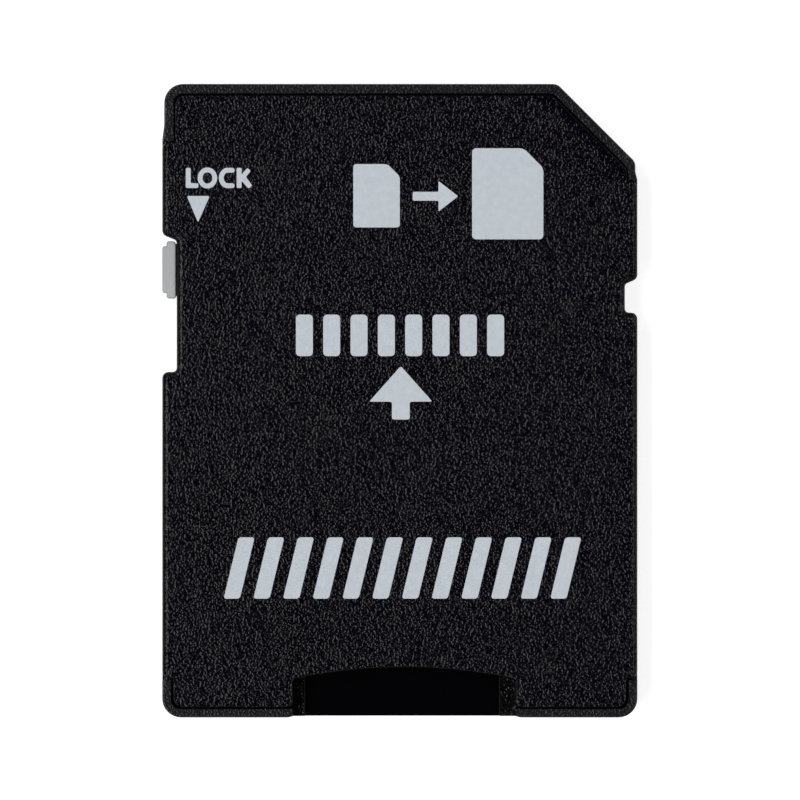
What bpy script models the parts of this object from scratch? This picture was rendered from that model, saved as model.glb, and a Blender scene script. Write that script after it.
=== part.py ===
"""A sleeve that lets an 11 x 15 mm memory card be used where the 24 x 32 mm one fits.

It lies flat, label side up, with its insertion end towards +Y and its mouth
towards -Y. The origin is at the middle of the footprint, on the contact side.
Every size is in metres, written as millimetres times MM.
"""

import math

import bmesh
import bpy
from mathutils import Matrix, Vector

MM = 0.001

# The full-size card's standard outline
CARD_WIDTH = 24.0 * MM
CARD_LENGTH = 32.0 * MM
CARD_THICKNESS = 2.1 * MM
RAIL_WIDTH = 0.8 * MM
RAIL_UNDERSIDE = 0.7 * MM
BACK_END_STEP = 0.07 * MM
CORNER_CUT = 4.05 * MM
CORNER_RADIUS = 0.95 * MM
CUT_CORNER_RADIUS = 0.5 * MM
BACK_EDGE_BEVEL = 0.15 * MM
LEAD_IN = 0.35 * MM

# The lock notch on the left and the latch notch on the right. Their places are
# measured from the insertion end.
LOCK_NOTCH_PLACE = 7.90 * MM
LOCK_NOTCH_LENGTH = 6.645 * MM
LOCK_NOTCH_DEPTH = 0.73 * MM
LOCK_NOTCH_SLOPE = 0.28 * MM
LATCH_NOTCH_PLACE = 10.11 * MM
LATCH_NOTCH_LENGTH = 1.44 * MM
LATCH_NOTCH_DEPTH = 0.63 * MM
LATCH_NOTCH_SLOPE = 0.26 * MM
NOTCH_OUTER_RADIUS = 0.31 * MM
NOTCH_INNER_RADIUS = 0.2 * MM

# The base shell's rims, which show round both ends of the cover
FRONT_RIM = 0.465 * MM
FRONT_RIM_INSET = 0.10 * MM
FRONT_RIM_LEFT_LENGTH = 2.87 * MM
FRONT_RIM_RIGHT_LENGTH = 4.84 * MM
FRONT_SEAM = 0.075 * MM
INSET_RUN_OUT = 0.8 * MM
REAR_RIM = 0.42 * MM
REAR_RIM_LENGTH = 1.87 * MM
REAR_SEAM = 0.13 * MM
SEAT_RADIUS = 0.5 * MM
RIM_TOP_STEP = 0.04 * MM
RIM_EDGE_BEVEL = 0.10 * MM

# The cover, whose skirts form the long edges between the rims
COVER_PLATE = 0.5 * MM
COVER_FILLET = 0.3 * MM
COVER_CORNER = 0.32 * MM
PARTING_HEIGHT = 1.40 * MM
SKIRT_WALL = 0.5 * MM
SHELL_GAP = 0.03 * MM
WALL_GAP = 0.04 * MM

# The bay for the small card, with the finger cut-out over its mouth
SMALL_CARD_WIDTH = 11.0 * MM
SMALL_CARD_THICKNESS = 0.7 * MM
BAY_SIDE_GAP = 0.14 * MM
BAY_ROOF_GAP = 0.05 * MM
BAY_OFFSET = 0.23 * MM
BAY_DEPTH = 14.85 * MM
BAY_STEP = 1.3 * MM
BAY_STEP_PLACE = 8.4 * MM
LEFT_LEDGE = 0.62 * MM
RIGHT_LEDGE = 0.76 * MM
RECESS_DEPTH = 0.35 * MM
RECESS_LENGTH = 12.0 * MM
ARCH_PLACE = 1.95 * MM
ARCH_RISE = 0.6 * MM
MOUTH_FLARE = 0.25 * MM
MOUTH_STEP = 0.06 * MM

# The stamped terminals: pads for the host, leads, and fingers for the small card
STRIP = 0.15 * MM
PAD_WIDTH = 1.6 * MM
NARROW_PAD_WIDTH = 1.0 * MM
PAD_LENGTH = 3.9 * MM
PAD_PLACE = 1.85 * MM
CUT_CORNER_SETBACK = 2.05 * MM
CORNER_PAD_MARGIN = 2.6 * MM
FIRST_PAD_MARGIN = 5.1 * MM
LAST_PAD_MARGIN = 2.275 * MM
SHOULDER = 0.15 * MM
TAIL_WIDTH = 0.9 * MM
NARROW_TAIL_WIDTH = 0.6 * MM
TAIL_RISE = 0.33 * MM
TAIL_RUN = 0.35 * MM
TAIL_LENGTH = 0.45 * MM
SHORT_TAIL_RISE = 0.20 * MM
LINK_WIDTH = 0.3 * MM
LEAD_WIDTH = 0.5 * MM
LEAD_START = 0.50 * MM
LEAD_STRAIGHT = 0.6 * MM
FINGER_WIDTH = 0.5 * MM
TIP_WIDTH = 0.4 * MM
FINGER_PITCH = 1.1 * MM
FINGER_ROW_PLACE = 2.54 * MM
FINGER_ROOT_LENGTH = 2.15 * MM
BUMP_PLACE = 1.95 * MM
BUMP_LIFT = 0.27 * MM
BUMP_RADIUS = 0.45 * MM
TIP_PLACE = 2.7 * MM
TIP_DROP = 0.055 * MM

# The contact windows, the shelf in front of the pads and the room to flex
WINDOW_MARGIN = 0.075 * MM
SHELF_GAP = 0.12 * MM
TAIL_END_GAP = 0.10 * MM
FINGER_FLOOR = 0.30 * MM
FINGER_SIDE_GAP = 0.12 * MM
FINGER_END_GAP = 0.3 * MM
FINGER_TOP_GAP = 0.07 * MM

# The carrier moulded over the leads
CARRIER_WALL = 0.4 * MM
CARRIER_FLOOR_GAP = 0.03 * MM
CARRIER_SIDE_GAP = 0.05 * MM
CHANNEL_WALL = 0.75 * MM
GROOVE_GAP = 0.035 * MM
GROOVE_ROOF_GAP = 0.03 * MM
PIN_HOLE_RADIUS = 0.4 * MM

# The lock slider, and the channel that its flange runs in
SLIDER_LENGTH = 2.90 * MM
TAB_LENGTH = 2.38 * MM
TAB_OFFSET = 0.25 * MM
TAB_HEIGHT = 0.21 * MM
SLIDER_TOP_STEP = 0.22 * MM
SLIDER_GAP = 0.04 * MM
SLIDER_EDGE = 0.12 * MM
SLIDER_FOOT_EDGE = 0.05 * MM
SLIDER_CORNER = 0.13 * MM
NECK_INSET = 0.13 * MM
LIP_WALL = 0.33 * MM
LIP_RISE = 0.08 * MM
FLANGE_WIDTH = 0.60 * MM
FLANGE_NIB = 0.10 * MM
CHANNEL_FLOOR = 0.45 * MM
CHANNEL_END_ROOM = 0.15 * MM

# The leaf spring that clicks into the small card's side notch
LEAF = 0.15 * MM
LEAF_HEIGHT = 0.6 * MM
LEAF_BACK = 0.95 * MM
LEAF_POCKET = 0.42 * MM
LEAF_REACH = 0.37 * MM
LEAF_PLACE = 8.35 * MM
LEAF_BUMP = 1.25 * MM
LEAF_CREST = 0.25 * MM
LEAF_FREE_LENGTH = 1.9 * MM
LEAF_HELD_LENGTH = 3.75 * MM
LEAF_HOOK = 0.25 * MM
LEAF_GAP = 0.05 * MM

# The moulded pockets that lighten the base on both sides of the bay
POCKET_FLOOR = 0.50 * MM
POCKET_WALL = 0.6 * MM
POCKET_RIB = 0.6 * MM
POCKET_END_WALL = 1.3 * MM
POCKET_RADIUS = 0.3 * MM
POCKET_CELLS = 3

# How far a joined piece runs into the other one, how far a cutter runs past the
# face that it opens, and how far one runs past the whole part
JOIN_OVERLAP = 0.2 * MM
CLEAR = 1.0 * MM
OUTSIDE = 30.0 * MM

# How round arcs are drawn: pieces in a full circle, in the arch, in a fillet, in a
# small bevel and in a bump
ROUND_STEPS = 32
SMALL_ROUND_STEPS = 16
SMALL_RADIUS = 0.35 * MM
HOLE_STEPS = 16
ARCH_STEPS = 18
FILLET_STEPS = 4
EDGE_STEPS = 2
BUMP_STEPS = 4

# Each pad's number, its name and the place of its finger in the row
PADS = (
    (9, "data_2", 0),
    (1, "data_3", 1),
    (2, "command", 2),
    (3, "ground", None),
    (4, "supply", 3),
    (5, "clock", 4),
    (6, "ground", 5),
    (7, "data_0", 6),
    (8, "data_1", 7),
)
CORNER_PAD = 9
NARROW_PADS = (7, 8)
PADS_BEHIND_LINK = (4, 5)
LAST_PAD = 8
LAST_FINGER = 7

# The steps from the first pad to the last one, as shares of the ordinary pitch
PAD_STEPS = (0, 1, 1, 1, 1, 1, 0.97, 0.68)

HALF_WIDTH = CARD_WIDTH / 2
HALF_LENGTH = CARD_LENGTH / 2
FRONT = HALF_LENGTH
REAR = -HALF_LENGTH

LOCK_FACE = -HALF_WIDTH + LOCK_NOTCH_DEPTH
LOCK_TOP = FRONT - LOCK_NOTCH_PLACE
LOCK_BOTTOM = LOCK_TOP - LOCK_NOTCH_LENGTH
LATCH_FACE = HALF_WIDTH - LATCH_NOTCH_DEPTH
LATCH_TOP = FRONT - LATCH_NOTCH_PLACE
LATCH_BOTTOM = LATCH_TOP - LATCH_NOTCH_LENGTH

RIM_END_LEFT = FRONT - FRONT_RIM_LEFT_LENGTH
RIM_END_RIGHT = FRONT - FRONT_RIM_RIGHT_LENGTH
RIM_END_REAR = REAR + REAR_RIM_LENGTH
COVER_UNDERSIDE = CARD_THICKNESS - COVER_PLATE
TONGUE = HALF_WIDTH - SKIRT_WALL - WALL_GAP

BAY_WIDTH = SMALL_CARD_WIDTH + 2 * BAY_SIDE_GAP
BAY_LEFT = BAY_OFFSET - BAY_WIDTH / 2
BAY_RIGHT = BAY_OFFSET + BAY_WIDTH / 2
NARROW_BAY_RIGHT = BAY_RIGHT - BAY_STEP
BAY_STEP_START = REAR + BAY_STEP_PLACE
BAY_END = REAR + BAY_DEPTH
LEDGE = COVER_UNDERSIDE - BAY_ROOF_GAP - SMALL_CARD_THICKNESS
RECESS_FLOOR = LEDGE - RECESS_DEPTH

PAD_MIDDLE = RAIL_UNDERSIDE + STRIP / 2
PAD_TOP = RAIL_UNDERSIDE + STRIP
PAD_FRONT = FRONT - PAD_PLACE
TAIL_LEVEL = PAD_MIDDLE + TAIL_RISE
TAIL_FRONT = PAD_FRONT + TAIL_RUN + TAIL_LENGTH
SHELF_TOP = TAIL_LEVEL - STRIP / 2 - CARRIER_FLOOR_GAP
SHELF_EDGE = PAD_FRONT + TAIL_RUN + SHELF_GAP
INNER_WALL_INSET = FRONT - TAIL_FRONT - TAIL_END_GAP

FINGER_ROOT = BAY_END + FINGER_ROOT_LENGTH
LEAD_END = FINGER_ROOT + LEAD_STRAIGHT
FIRST_FINGER = BAY_RIGHT - FINGER_ROW_PLACE
BUMP = BAY_END - BUMP_PLACE
FINGER_TIP = BAY_END - TIP_PLACE
BUMP_LEVEL = LEDGE + BUMP_LIFT - STRIP / 2

LEAF_MIDDLE = BAY_END - LEAF_PLACE
LEAF_WALL = BAY_RIGHT + LEAF_BACK


def clear_scene():
    for obj in list(bpy.data.objects):
        bpy.data.objects.remove(obj, do_unlink=True)


def material(name, colour, roughness, metallic=0.0):
    made = bpy.data.materials.new(name)
    made.use_nodes = True
    shader = made.node_tree.nodes["Principled BSDF"]
    shader.inputs["Base Color"].default_value = (*colour, 1)
    shader.inputs["Roughness"].default_value = roughness
    shader.inputs["Metallic"].default_value = metallic
    made.diffuse_color = (*colour, 1)
    return made


def rounded(corners):
    """The points of a closed outline, from corners given as (x, y, radius)."""
    points = []
    for index, (x, y, radius) in enumerate(corners):
        corner = Vector((x, y))
        if not radius:
            points.append(corner)
            continue
        back = (Vector(corners[index - 1][:2]) - corner).normalized()
        ahead = (Vector(corners[(index + 1) % len(corners)][:2]) - corner).normalized()
        half = back.angle(ahead) / 2
        centre = corner + (back + ahead).normalized() * radius / math.sin(half)
        start = corner + back * radius / math.tan(half) - centre
        finish = corner + ahead * radius / math.tan(half) - centre
        first = math.atan2(start.y, start.x)
        turn = math.atan2(finish.y, finish.x) - first
        turn = (turn + math.pi) % (2 * math.pi) - math.pi
        full_circle = ROUND_STEPS if radius > SMALL_RADIUS else SMALL_ROUND_STEPS
        steps = max(2, round(abs(turn) / (2 * math.pi) * full_circle))
        for step in range(steps + 1):
            angle = first + turn * step / steps
            points.append(centre + radius * Vector((math.cos(angle), math.sin(angle))))
    return points


def pulled(mesh, face, along):
    """Extrudes one face into a closed body."""
    made = bmesh.ops.extrude_face_region(mesh, geom=[face])
    moved = [item for item in made["geom"] if isinstance(item, bmesh.types.BMVert)]
    bmesh.ops.translate(mesh, verts=moved, vec=along)
    bmesh.ops.recalc_face_normals(mesh, faces=mesh.faces)
    return mesh


def prism(outline, low, high):
    mesh = bmesh.new()
    face = mesh.faces.new([mesh.verts.new((x, y, low)) for x, y in outline])
    return pulled(mesh, face, (0, 0, high - low))


def block(x_low, x_high, y_low, y_high, z_low, z_high):
    outline = [(x_low, y_low), (x_high, y_low), (x_high, y_high), (x_low, y_high)]
    return prism(outline, z_low, z_high)


def bevel_rim(mesh, height, width, segments):
    """Rounds the edges of the mesh that lie at one height."""
    level = [
        edge
        for edge in mesh.edges
        if all(math.isclose(vert.co.z, height, abs_tol=1e-7) for vert in edge.verts)
    ]
    bmesh.ops.bevel(
        mesh,
        geom=level,
        offset=width,
        offset_type="OFFSET",
        segments=segments,
        profile=0.5,
        affect="EDGES",
        material=-1,
    )


def add_object(name, mesh, finish=None):
    data = bpy.data.meshes.new(name)
    mesh.to_mesh(data)
    mesh.free()
    made = bpy.data.objects.new(name, data)
    bpy.context.scene.collection.objects.link(made)
    if finish:
        data.materials.append(finish)
        data.shade_smooth()
        data.set_sharp_from_angle(angle=math.radians(30))
    return made


def combine(target, mesh, name, operation="DIFFERENCE"):
    """Cuts the mesh out of the target, or joins it on, with a hidden helper."""
    helper = add_object(f"{target.name}_{name}", mesh)
    helper.hide_render = True
    helper.display_type = "WIRE"
    modifier = target.modifiers.new(name, "BOOLEAN")
    modifier.operation = operation
    modifier.solver = "EXACT"
    modifier.object = helper


def joined(meshes):
    """One bmesh that holds several separate ones."""
    whole = bmesh.new()
    for mesh in meshes:
        data = bpy.data.meshes.new("loose")
        mesh.to_mesh(data)
        mesh.free()
        whole.from_mesh(data)
        bpy.data.meshes.remove(data)
    return whole


def thicken(obj, thickness):
    """Gives a sheet its thickness, half on each side of the modelled surface."""
    modifier = obj.modifiers.new("sheet", "SOLIDIFY")
    modifier.thickness = thickness
    modifier.offset = 0
    modifier.use_even_offset = True


def pad_places():
    """The middle of each pad across the card. The row shares the width evenly."""
    pitch = (CARD_WIDTH - FIRST_PAD_MARGIN - LAST_PAD_MARGIN) / sum(PAD_STEPS)
    places = {CORNER_PAD: HALF_WIDTH - CORNER_PAD_MARGIN}
    across = HALF_WIDTH - FIRST_PAD_MARGIN
    for (number, _, _), share in zip(PADS[1:], PAD_STEPS):
        across -= share * pitch
        places[number] = across
    return places


def pad_width(number):
    return NARROW_PAD_WIDTH if number in NARROW_PADS else PAD_WIDTH


def pad_front(number):
    return PAD_FRONT - CUT_CORNER_SETBACK if number == CORNER_PAD else PAD_FRONT


def finger_place(order):
    return FIRST_FINGER - order * FINGER_PITCH


def diagonal(inset):
    """The value of x + y along a line that lies inside the cut corner."""
    return HALF_WIDTH + HALF_LENGTH - CORNER_CUT - inset * math.sqrt(2)


def left_edge(front_end, rear_end):
    """The left side from front to rear, with the lock notch."""
    return [
        front_end,
        (-HALF_WIDTH, LOCK_TOP + LOCK_NOTCH_SLOPE, NOTCH_OUTER_RADIUS),
        (LOCK_FACE, LOCK_TOP, NOTCH_INNER_RADIUS),
        (LOCK_FACE, LOCK_BOTTOM, NOTCH_INNER_RADIUS),
        (-HALF_WIDTH, LOCK_BOTTOM, NOTCH_OUTER_RADIUS),
        rear_end,
    ]


def right_edge(rear_end, front_end):
    """The right side from rear to front, with the latch notch."""
    return [
        rear_end,
        (HALF_WIDTH, LATCH_BOTTOM, NOTCH_OUTER_RADIUS),
        (LATCH_FACE, LATCH_BOTTOM, NOTCH_INNER_RADIUS),
        (LATCH_FACE, LATCH_TOP, NOTCH_INNER_RADIUS),
        (HALF_WIDTH, LATCH_TOP + LATCH_NOTCH_SLOPE, NOTCH_OUTER_RADIUS),
        front_end,
    ]


def card_outline():
    """The whole footprint, drawn in a little where the front rim shows."""
    side = HALF_WIDTH - FRONT_RIM_INSET
    left = left_edge((-HALF_WIDTH, RIM_END_LEFT, 0), (-HALF_WIDTH, REAR, CORNER_RADIUS))
    right = right_edge((HALF_WIDTH, REAR, CORNER_RADIUS), (HALF_WIDTH, RIM_END_RIGHT, 0))
    front = [
        (side, RIM_END_RIGHT + INSET_RUN_OUT / 2, 0),
        (side, diagonal(0) - side, CUT_CORNER_RADIUS),
        (diagonal(0) - FRONT, FRONT, CUT_CORNER_RADIUS),
        (-side, FRONT, CORNER_RADIUS),
        (-side, RIM_END_LEFT + INSET_RUN_OUT, 0),
    ]
    return rounded(left + right + front)


def arch_points():
    """The finger cut-out's shallow arch, from left to right."""
    half = BAY_WIDTH / 2
    radius = (half**2 + ARCH_RISE**2) / (2 * ARCH_RISE)
    centre = REAR + ARCH_PLACE + ARCH_RISE - radius
    reach = math.asin(half / radius)
    points = []
    for step in range(ARCH_STEPS + 1):
        angle = reach * (2 * step / ARCH_STEPS - 1)
        across = BAY_OFFSET + radius * math.sin(angle)
        points.append((across, centre + radius * math.cos(angle), 0))
    return points


def plate_corners(front_gap, rear_gap, left, right, mouth):
    """The plate's plan inside both rims, between the two given sides."""
    front_side = HALF_WIDTH - FRONT_RIM_INSET - FRONT_RIM - front_gap
    front_end = FRONT - FRONT_RIM - front_gap
    slant = diagonal(FRONT_RIM + front_gap)
    rear_side = HALF_WIDTH - REAR_RIM - rear_gap
    rear_end = REAR + REAR_RIM + rear_gap
    rear = [
        (-rear_side, RIM_END_REAR + rear_gap, 0),
        (-rear_side, rear_end, SEAT_RADIUS),
        *mouth,
        (rear_side, rear_end, SEAT_RADIUS),
        (rear_side, RIM_END_REAR + rear_gap, 0),
    ]
    front = [
        (front_side, RIM_END_RIGHT - front_gap, 0),
        (front_side, slant - front_side, SEAT_RADIUS),
        (slant - front_end, front_end, SEAT_RADIUS),
        (-front_side, front_end, SEAT_RADIUS),
        (-front_side, RIM_END_LEFT - front_gap, 0),
    ]
    return left + rear + right + front


def cover_outline():
    rear = RIM_END_REAR + REAR_SEAM
    left = left_edge(
        (-HALF_WIDTH, RIM_END_LEFT - FRONT_SEAM, COVER_CORNER),
        (-HALF_WIDTH, rear, COVER_CORNER),
    )
    right = right_edge(
        (HALF_WIDTH, rear, COVER_CORNER),
        (HALF_WIDTH, RIM_END_RIGHT - FRONT_SEAM, COVER_CORNER),
    )
    mouth_end = REAR + REAR_RIM + REAR_SEAM
    mouth = [
        (BAY_LEFT, mouth_end, COVER_CORNER),
        *arch_points(),
        (BAY_RIGHT, mouth_end, COVER_CORNER),
    ]
    return rounded(plate_corners(FRONT_SEAM, REAR_SEAM, left, right, mouth))


def seat_outline():
    side = HALF_WIDTH + CLEAR
    left = [(-side, RIM_END_LEFT, 0), (-side, RIM_END_REAR, 0)]
    right = [(side, RIM_END_REAR, 0), (side, RIM_END_RIGHT, 0)]
    return rounded(plate_corners(0, 0, left, right, []))


def make_top_cover(finish):
    mesh = prism(cover_outline(), PARTING_HEIGHT, CARD_THICKNESS)
    bevel_rim(mesh, CARD_THICKNESS, COVER_FILLET, FILLET_STEPS)
    cover = add_object("top_cover", mesh, finish)
    inside = HALF_WIDTH - SKIRT_WALL
    combine(cover, block(-inside, inside, -OUTSIDE, OUTSIDE, 0, COVER_UNDERSIDE), "hollow")


def back_outline():
    """The raised back that lies between the two rails."""
    side = HALF_WIDTH - RAIL_WIDTH
    end = HALF_LENGTH - BACK_END_STEP
    slant = diagonal(RAIL_WIDTH)
    return rounded(
        [
            (-side, -end, CORNER_RADIUS),
            (side, -end, CORNER_RADIUS),
            (side, slant - side, CUT_CORNER_RADIUS),
            (slant - end, end, CUT_CORNER_RADIUS),
            (-side, end, CORNER_RADIUS),
        ]
    )


def carrier_sides(gap):
    """The carrier's left and right limits."""
    places = pad_places()
    left = places[LAST_PAD] - NARROW_PAD_WIDTH / 2 - CARRIER_WALL - CARRIER_SIDE_GAP
    right = places[CORNER_PAD] + PAD_WIDTH / 2 + CARRIER_WALL + CARRIER_SIDE_GAP
    return left + gap, right - gap


def beside_lead(number, order, gap):
    """A point and a direction that run outside an outer lead, a wall away from it."""
    top = Vector((pad_places()[number], pad_front(number) - PAD_LENGTH - LEAD_START))
    foot = Vector((finger_place(order), LEAD_END))
    way = (foot - top).normalized()
    room = LEAD_WIDTH / 2 + CARRIER_WALL + CARRIER_SIDE_GAP - gap
    outward = math.copysign(room, top.x - foot.x)
    return top + outward * Vector((-way.y, way.x)), way


def at_height(point, way, y):
    return point.x + (y - point.y) * way.x / way.y, y


def at_side(point, way, x):
    return x, point.y + (x - point.x) * way.y / way.x


def carrier_outline(gap):
    """The carrier's plan: wide over the pads, and slanting in beside the outer leads."""
    left, right = carrier_sides(gap)
    waist_left = BAY_LEFT + gap
    waist_right = NARROW_BAY_RIGHT - gap
    shoulder = LOCK_TOP + CHANNEL_END_ROOM + CHANNEL_WALL + gap
    left_lead = beside_lead(LAST_PAD, LAST_FINGER, gap)
    right_lead = beside_lead(CORNER_PAD, 0, gap)
    slant = diagonal(INNER_WALL_INSET + gap)
    front = FRONT - INNER_WALL_INSET - gap
    return [
        (left, shoulder),
        at_height(*left_lead, shoulder),
        at_side(*left_lead, waist_left),
        (waist_left, BAY_END),
        (waist_right, BAY_END),
        at_side(*right_lead, waist_right),
        at_side(*right_lead, right),
        (right, slant - right),
        (slant - front, front),
        (left, front),
    ]


def corner_pad_split():
    """Where the set-back place of the corner pad begins, across the card."""
    places = pad_places()
    return (places[CORNER_PAD] + places[PADS[1][0]]) / 2


def shelf_outline():
    """The moulded shelf in front of the pads, which runs a little into the walls."""
    left = carrier_sides(-JOIN_OVERLAP)[0]
    slant = diagonal(INNER_WALL_INSET - JOIN_OVERLAP)
    front = FRONT - INNER_WALL_INSET + JOIN_OVERLAP
    corner_edge = SHELF_EDGE - CUT_CORNER_SETBACK
    split = corner_pad_split()
    return [
        (left, SHELF_EDGE),
        (split, SHELF_EDGE),
        (split, corner_edge),
        (slant - corner_edge, corner_edge),
        (slant - front, front),
        (left, front),
    ]


def bay_outline():
    end = BAY_END + 2 * CARRIER_SIDE_GAP
    return [
        (BAY_LEFT, -OUTSIDE),
        (BAY_RIGHT, -OUTSIDE),
        (BAY_RIGHT, BAY_STEP_START),
        (NARROW_BAY_RIGHT, BAY_STEP_START + BAY_STEP),
        (NARROW_BAY_RIGHT, end),
        (BAY_LEFT, end),
    ]


def recess_outline():
    left = BAY_LEFT + LEFT_LEDGE
    right = BAY_RIGHT - RIGHT_LEDGE
    step = BAY_STEP_START - RIGHT_LEDGE / 2
    end = REAR + RECESS_LENGTH
    return [
        (left, -OUTSIDE),
        (right, -OUTSIDE),
        (right, step),
        (right - BAY_STEP, step + BAY_STEP),
        (right - BAY_STEP, end),
        (left, end),
    ]


def mouth_outline():
    """Takes the base's front edge back at the mouth and slants the rim's ends."""
    front = REAR + MOUTH_STEP
    return [
        (BAY_LEFT - MOUTH_FLARE, -OUTSIDE),
        (BAY_RIGHT + MOUTH_FLARE, -OUTSIDE),
        (BAY_RIGHT + MOUTH_FLARE, REAR),
        (BAY_RIGHT, front),
        (BAY_LEFT, front),
        (BAY_LEFT - MOUTH_FLARE, REAR),
    ]


def windows():
    """One slot for each pad, open at the insertion end."""
    slots = []
    for number, across in pad_places().items():
        half = pad_width(number) / 2 + WINDOW_MARGIN
        rear = pad_front(number) - PAD_LENGTH - WINDOW_MARGIN
        slots.append(block(across - half, across + half, rear, OUTSIDE, -CLEAR, RAIL_UNDERSIDE))
    return joined(slots)


def pockets():
    """Cored cells beside the bay, with ribs left between them."""
    left_side = (
        LOCK_FACE + POCKET_WALL,
        BAY_LEFT - POCKET_WALL,
        LOCK_BOTTOM - CHANNEL_END_ROOM - POCKET_WALL,
    )
    right_side = (
        LEAF_WALL + LEAF_HOOK + POCKET_WALL,
        TONGUE - POCKET_WALL,
        LATCH_BOTTOM - POCKET_WALL,
    )
    first = REAR + POCKET_END_WALL
    cells = []
    for low, high, front in (left_side, right_side):
        pitch = (front - first + POCKET_RIB) / POCKET_CELLS
        for cell in range(POCKET_CELLS):
            rear = first + cell * pitch
            corners = [
                (low, rear, POCKET_RADIUS),
                (high, rear, POCKET_RADIUS),
                (high, rear + pitch - POCKET_RIB, POCKET_RADIUS),
                (low, rear + pitch - POCKET_RIB, POCKET_RADIUS),
            ]
            cells.append(prism(rounded(corners), POCKET_FLOOR, CARD_THICKNESS + CLEAR))
    return joined(cells)


def lead_in():
    """A long wedge that takes off the lower front edge of the back."""
    mesh = bmesh.new()
    end = FRONT - BACK_END_STEP
    section = [(end - LEAD_IN, -LEAD_IN), (end + LEAD_IN, -LEAD_IN), (end + LEAD_IN, LEAD_IN)]
    face = mesh.faces.new([mesh.verts.new((-OUTSIDE, y, z)) for y, z in section])
    return pulled(mesh, face, (2 * OUTSIDE, 0, 0))


def cut_shell_seats(base, above):
    """Makes room for the cover's skirts and plate inside the rims."""
    floor = PARTING_HEIGHT - SHELL_GAP
    skirts = [
        block(-OUTSIDE, -TONGUE, RIM_END_REAR, RIM_END_LEFT, floor, above),
        block(TONGUE, OUTSIDE, RIM_END_REAR, RIM_END_RIGHT, floor, above),
    ]
    combine(base, joined(skirts), "skirt_seats")
    combine(base, prism(seat_outline(), COVER_UNDERSIDE - SHELL_GAP, above), "plate_seat")


def cut_bay(base, above):
    combine(base, prism(bay_outline(), LEDGE, above), "bay")
    combine(base, prism(recess_outline(), RECESS_FLOOR, above), "recess")
    combine(base, prism(mouth_outline(), RAIL_UNDERSIDE / 2, above), "mouth_front")


def cut_contact_places(base, above):
    """The carrier's place, the windows under the pads and the room under the fingers."""
    floor = RAIL_UNDERSIDE - CARRIER_FLOOR_GAP
    combine(base, prism(carrier_outline(0), floor, above), "carrier_place")
    combine(base, prism(shelf_outline(), floor - JOIN_OVERLAP, SHELF_TOP), "shelf", "UNION")
    combine(base, windows(), "windows")
    left = finger_place(LAST_FINGER) - FINGER_WIDTH / 2 - FINGER_SIDE_GAP
    right = finger_place(0) + FINGER_WIDTH / 2 + FINGER_SIDE_GAP
    tips = FINGER_TIP - FINGER_END_GAP
    combine(base, block(left, right, tips, FINGER_ROOT, FINGER_FLOOR, above), "finger_room")


def cut_slider_places(base, above):
    """The channel for the slider's flange and the slot for its neck."""
    lip_inside = LOCK_FACE + LIP_WALL
    wall = lip_inside + FLANGE_WIDTH + FLANGE_NIB + 2 * SLIDER_GAP
    rear = LOCK_BOTTOM - CHANNEL_END_ROOM
    front = LOCK_TOP + CHANNEL_END_ROOM
    combine(base, block(lip_inside, wall, rear, front, CHANNEL_FLOOR, above), "channel")
    inside = lip_inside + SLIDER_GAP
    lip_top = RAIL_UNDERSIDE + LIP_RISE
    combine(base, block(-OUTSIDE, inside, LOCK_BOTTOM, LOCK_TOP, lip_top, above), "slot")


def cut_leaf_places(base, above):
    """The leaf's run behind the bay's wall, its hooked end and the gate for its bump."""
    inner = LEAF_WALL - LEAF_POCKET
    held_end = LEAF_MIDDLE - LEAF_HELD_LENGTH
    reach = LEAF / 2 + LEAF_GAP
    free_end = LEAF_MIDDLE + LEAF_FREE_LENGTH + 2 * LEAF_GAP
    run = block(inner, LEAF_WALL, held_end - reach, free_end, LEDGE, above)
    combine(base, run, "leaf_run")
    hook_end = LEAF_WALL + LEAF_HOOK
    hook = block(inner, hook_end, held_end - reach, held_end + reach, LEDGE, above)
    combine(base, hook, "leaf_hook")
    half = LEAF_BUMP + 2 * LEAF
    gate_low = LEAF_MIDDLE - half
    gate_high = LEAF_MIDDLE + half
    middle = (inner + LEAF_WALL) / 2
    combine(base, block(BAY_RIGHT - LEAF, middle, gate_low, gate_high, LEDGE, above), "leaf_gate")


def make_base_shell(finish):
    above = CARD_THICKNESS + CLEAR
    rim_top = CARD_THICKNESS - RIM_TOP_STEP
    mesh = prism(card_outline(), RAIL_UNDERSIDE, rim_top)
    bevel_rim(mesh, rim_top, RIM_EDGE_BEVEL, EDGE_STEPS)
    base = add_object("base_shell", mesh, finish)
    back = prism(back_outline(), 0, RAIL_UNDERSIDE + JOIN_OVERLAP)
    bevel_rim(back, 0, BACK_EDGE_BEVEL, EDGE_STEPS)
    combine(base, back, "back", "UNION")
    cut_shell_seats(base, above)
    cut_bay(base, above)
    cut_contact_places(base, above)
    cut_slider_places(base, above)
    cut_leaf_places(base, above)
    combine(base, pockets(), "pockets")
    combine(base, lead_in(), "lead_in")


def finger_rows(across):
    """The sprung end: a rising arm, a round contact bump and a turned-down tip."""
    tip_level = PAD_MIDDLE - TIP_DROP
    rise = math.atan2(BUMP_LEVEL - PAD_MIDDLE, FINGER_ROOT - BUMP)
    fall = math.atan2(BUMP_LEVEL - tip_level, BUMP - FINGER_TIP)
    rows = [(across, FINGER_ROOT, PAD_MIDDLE, FINGER_WIDTH)]
    for step in range(BUMP_STEPS + 1):
        angle = rise - (rise + fall) * step / BUMP_STEPS
        along = BUMP + BUMP_RADIUS * math.sin(angle)
        level = BUMP_LEVEL - BUMP_RADIUS * (1 - math.cos(angle))
        rows.append((across, along, level, TIP_WIDTH))
    rows.append((across, FINGER_TIP, tip_level, TIP_WIDTH))
    return rows


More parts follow.
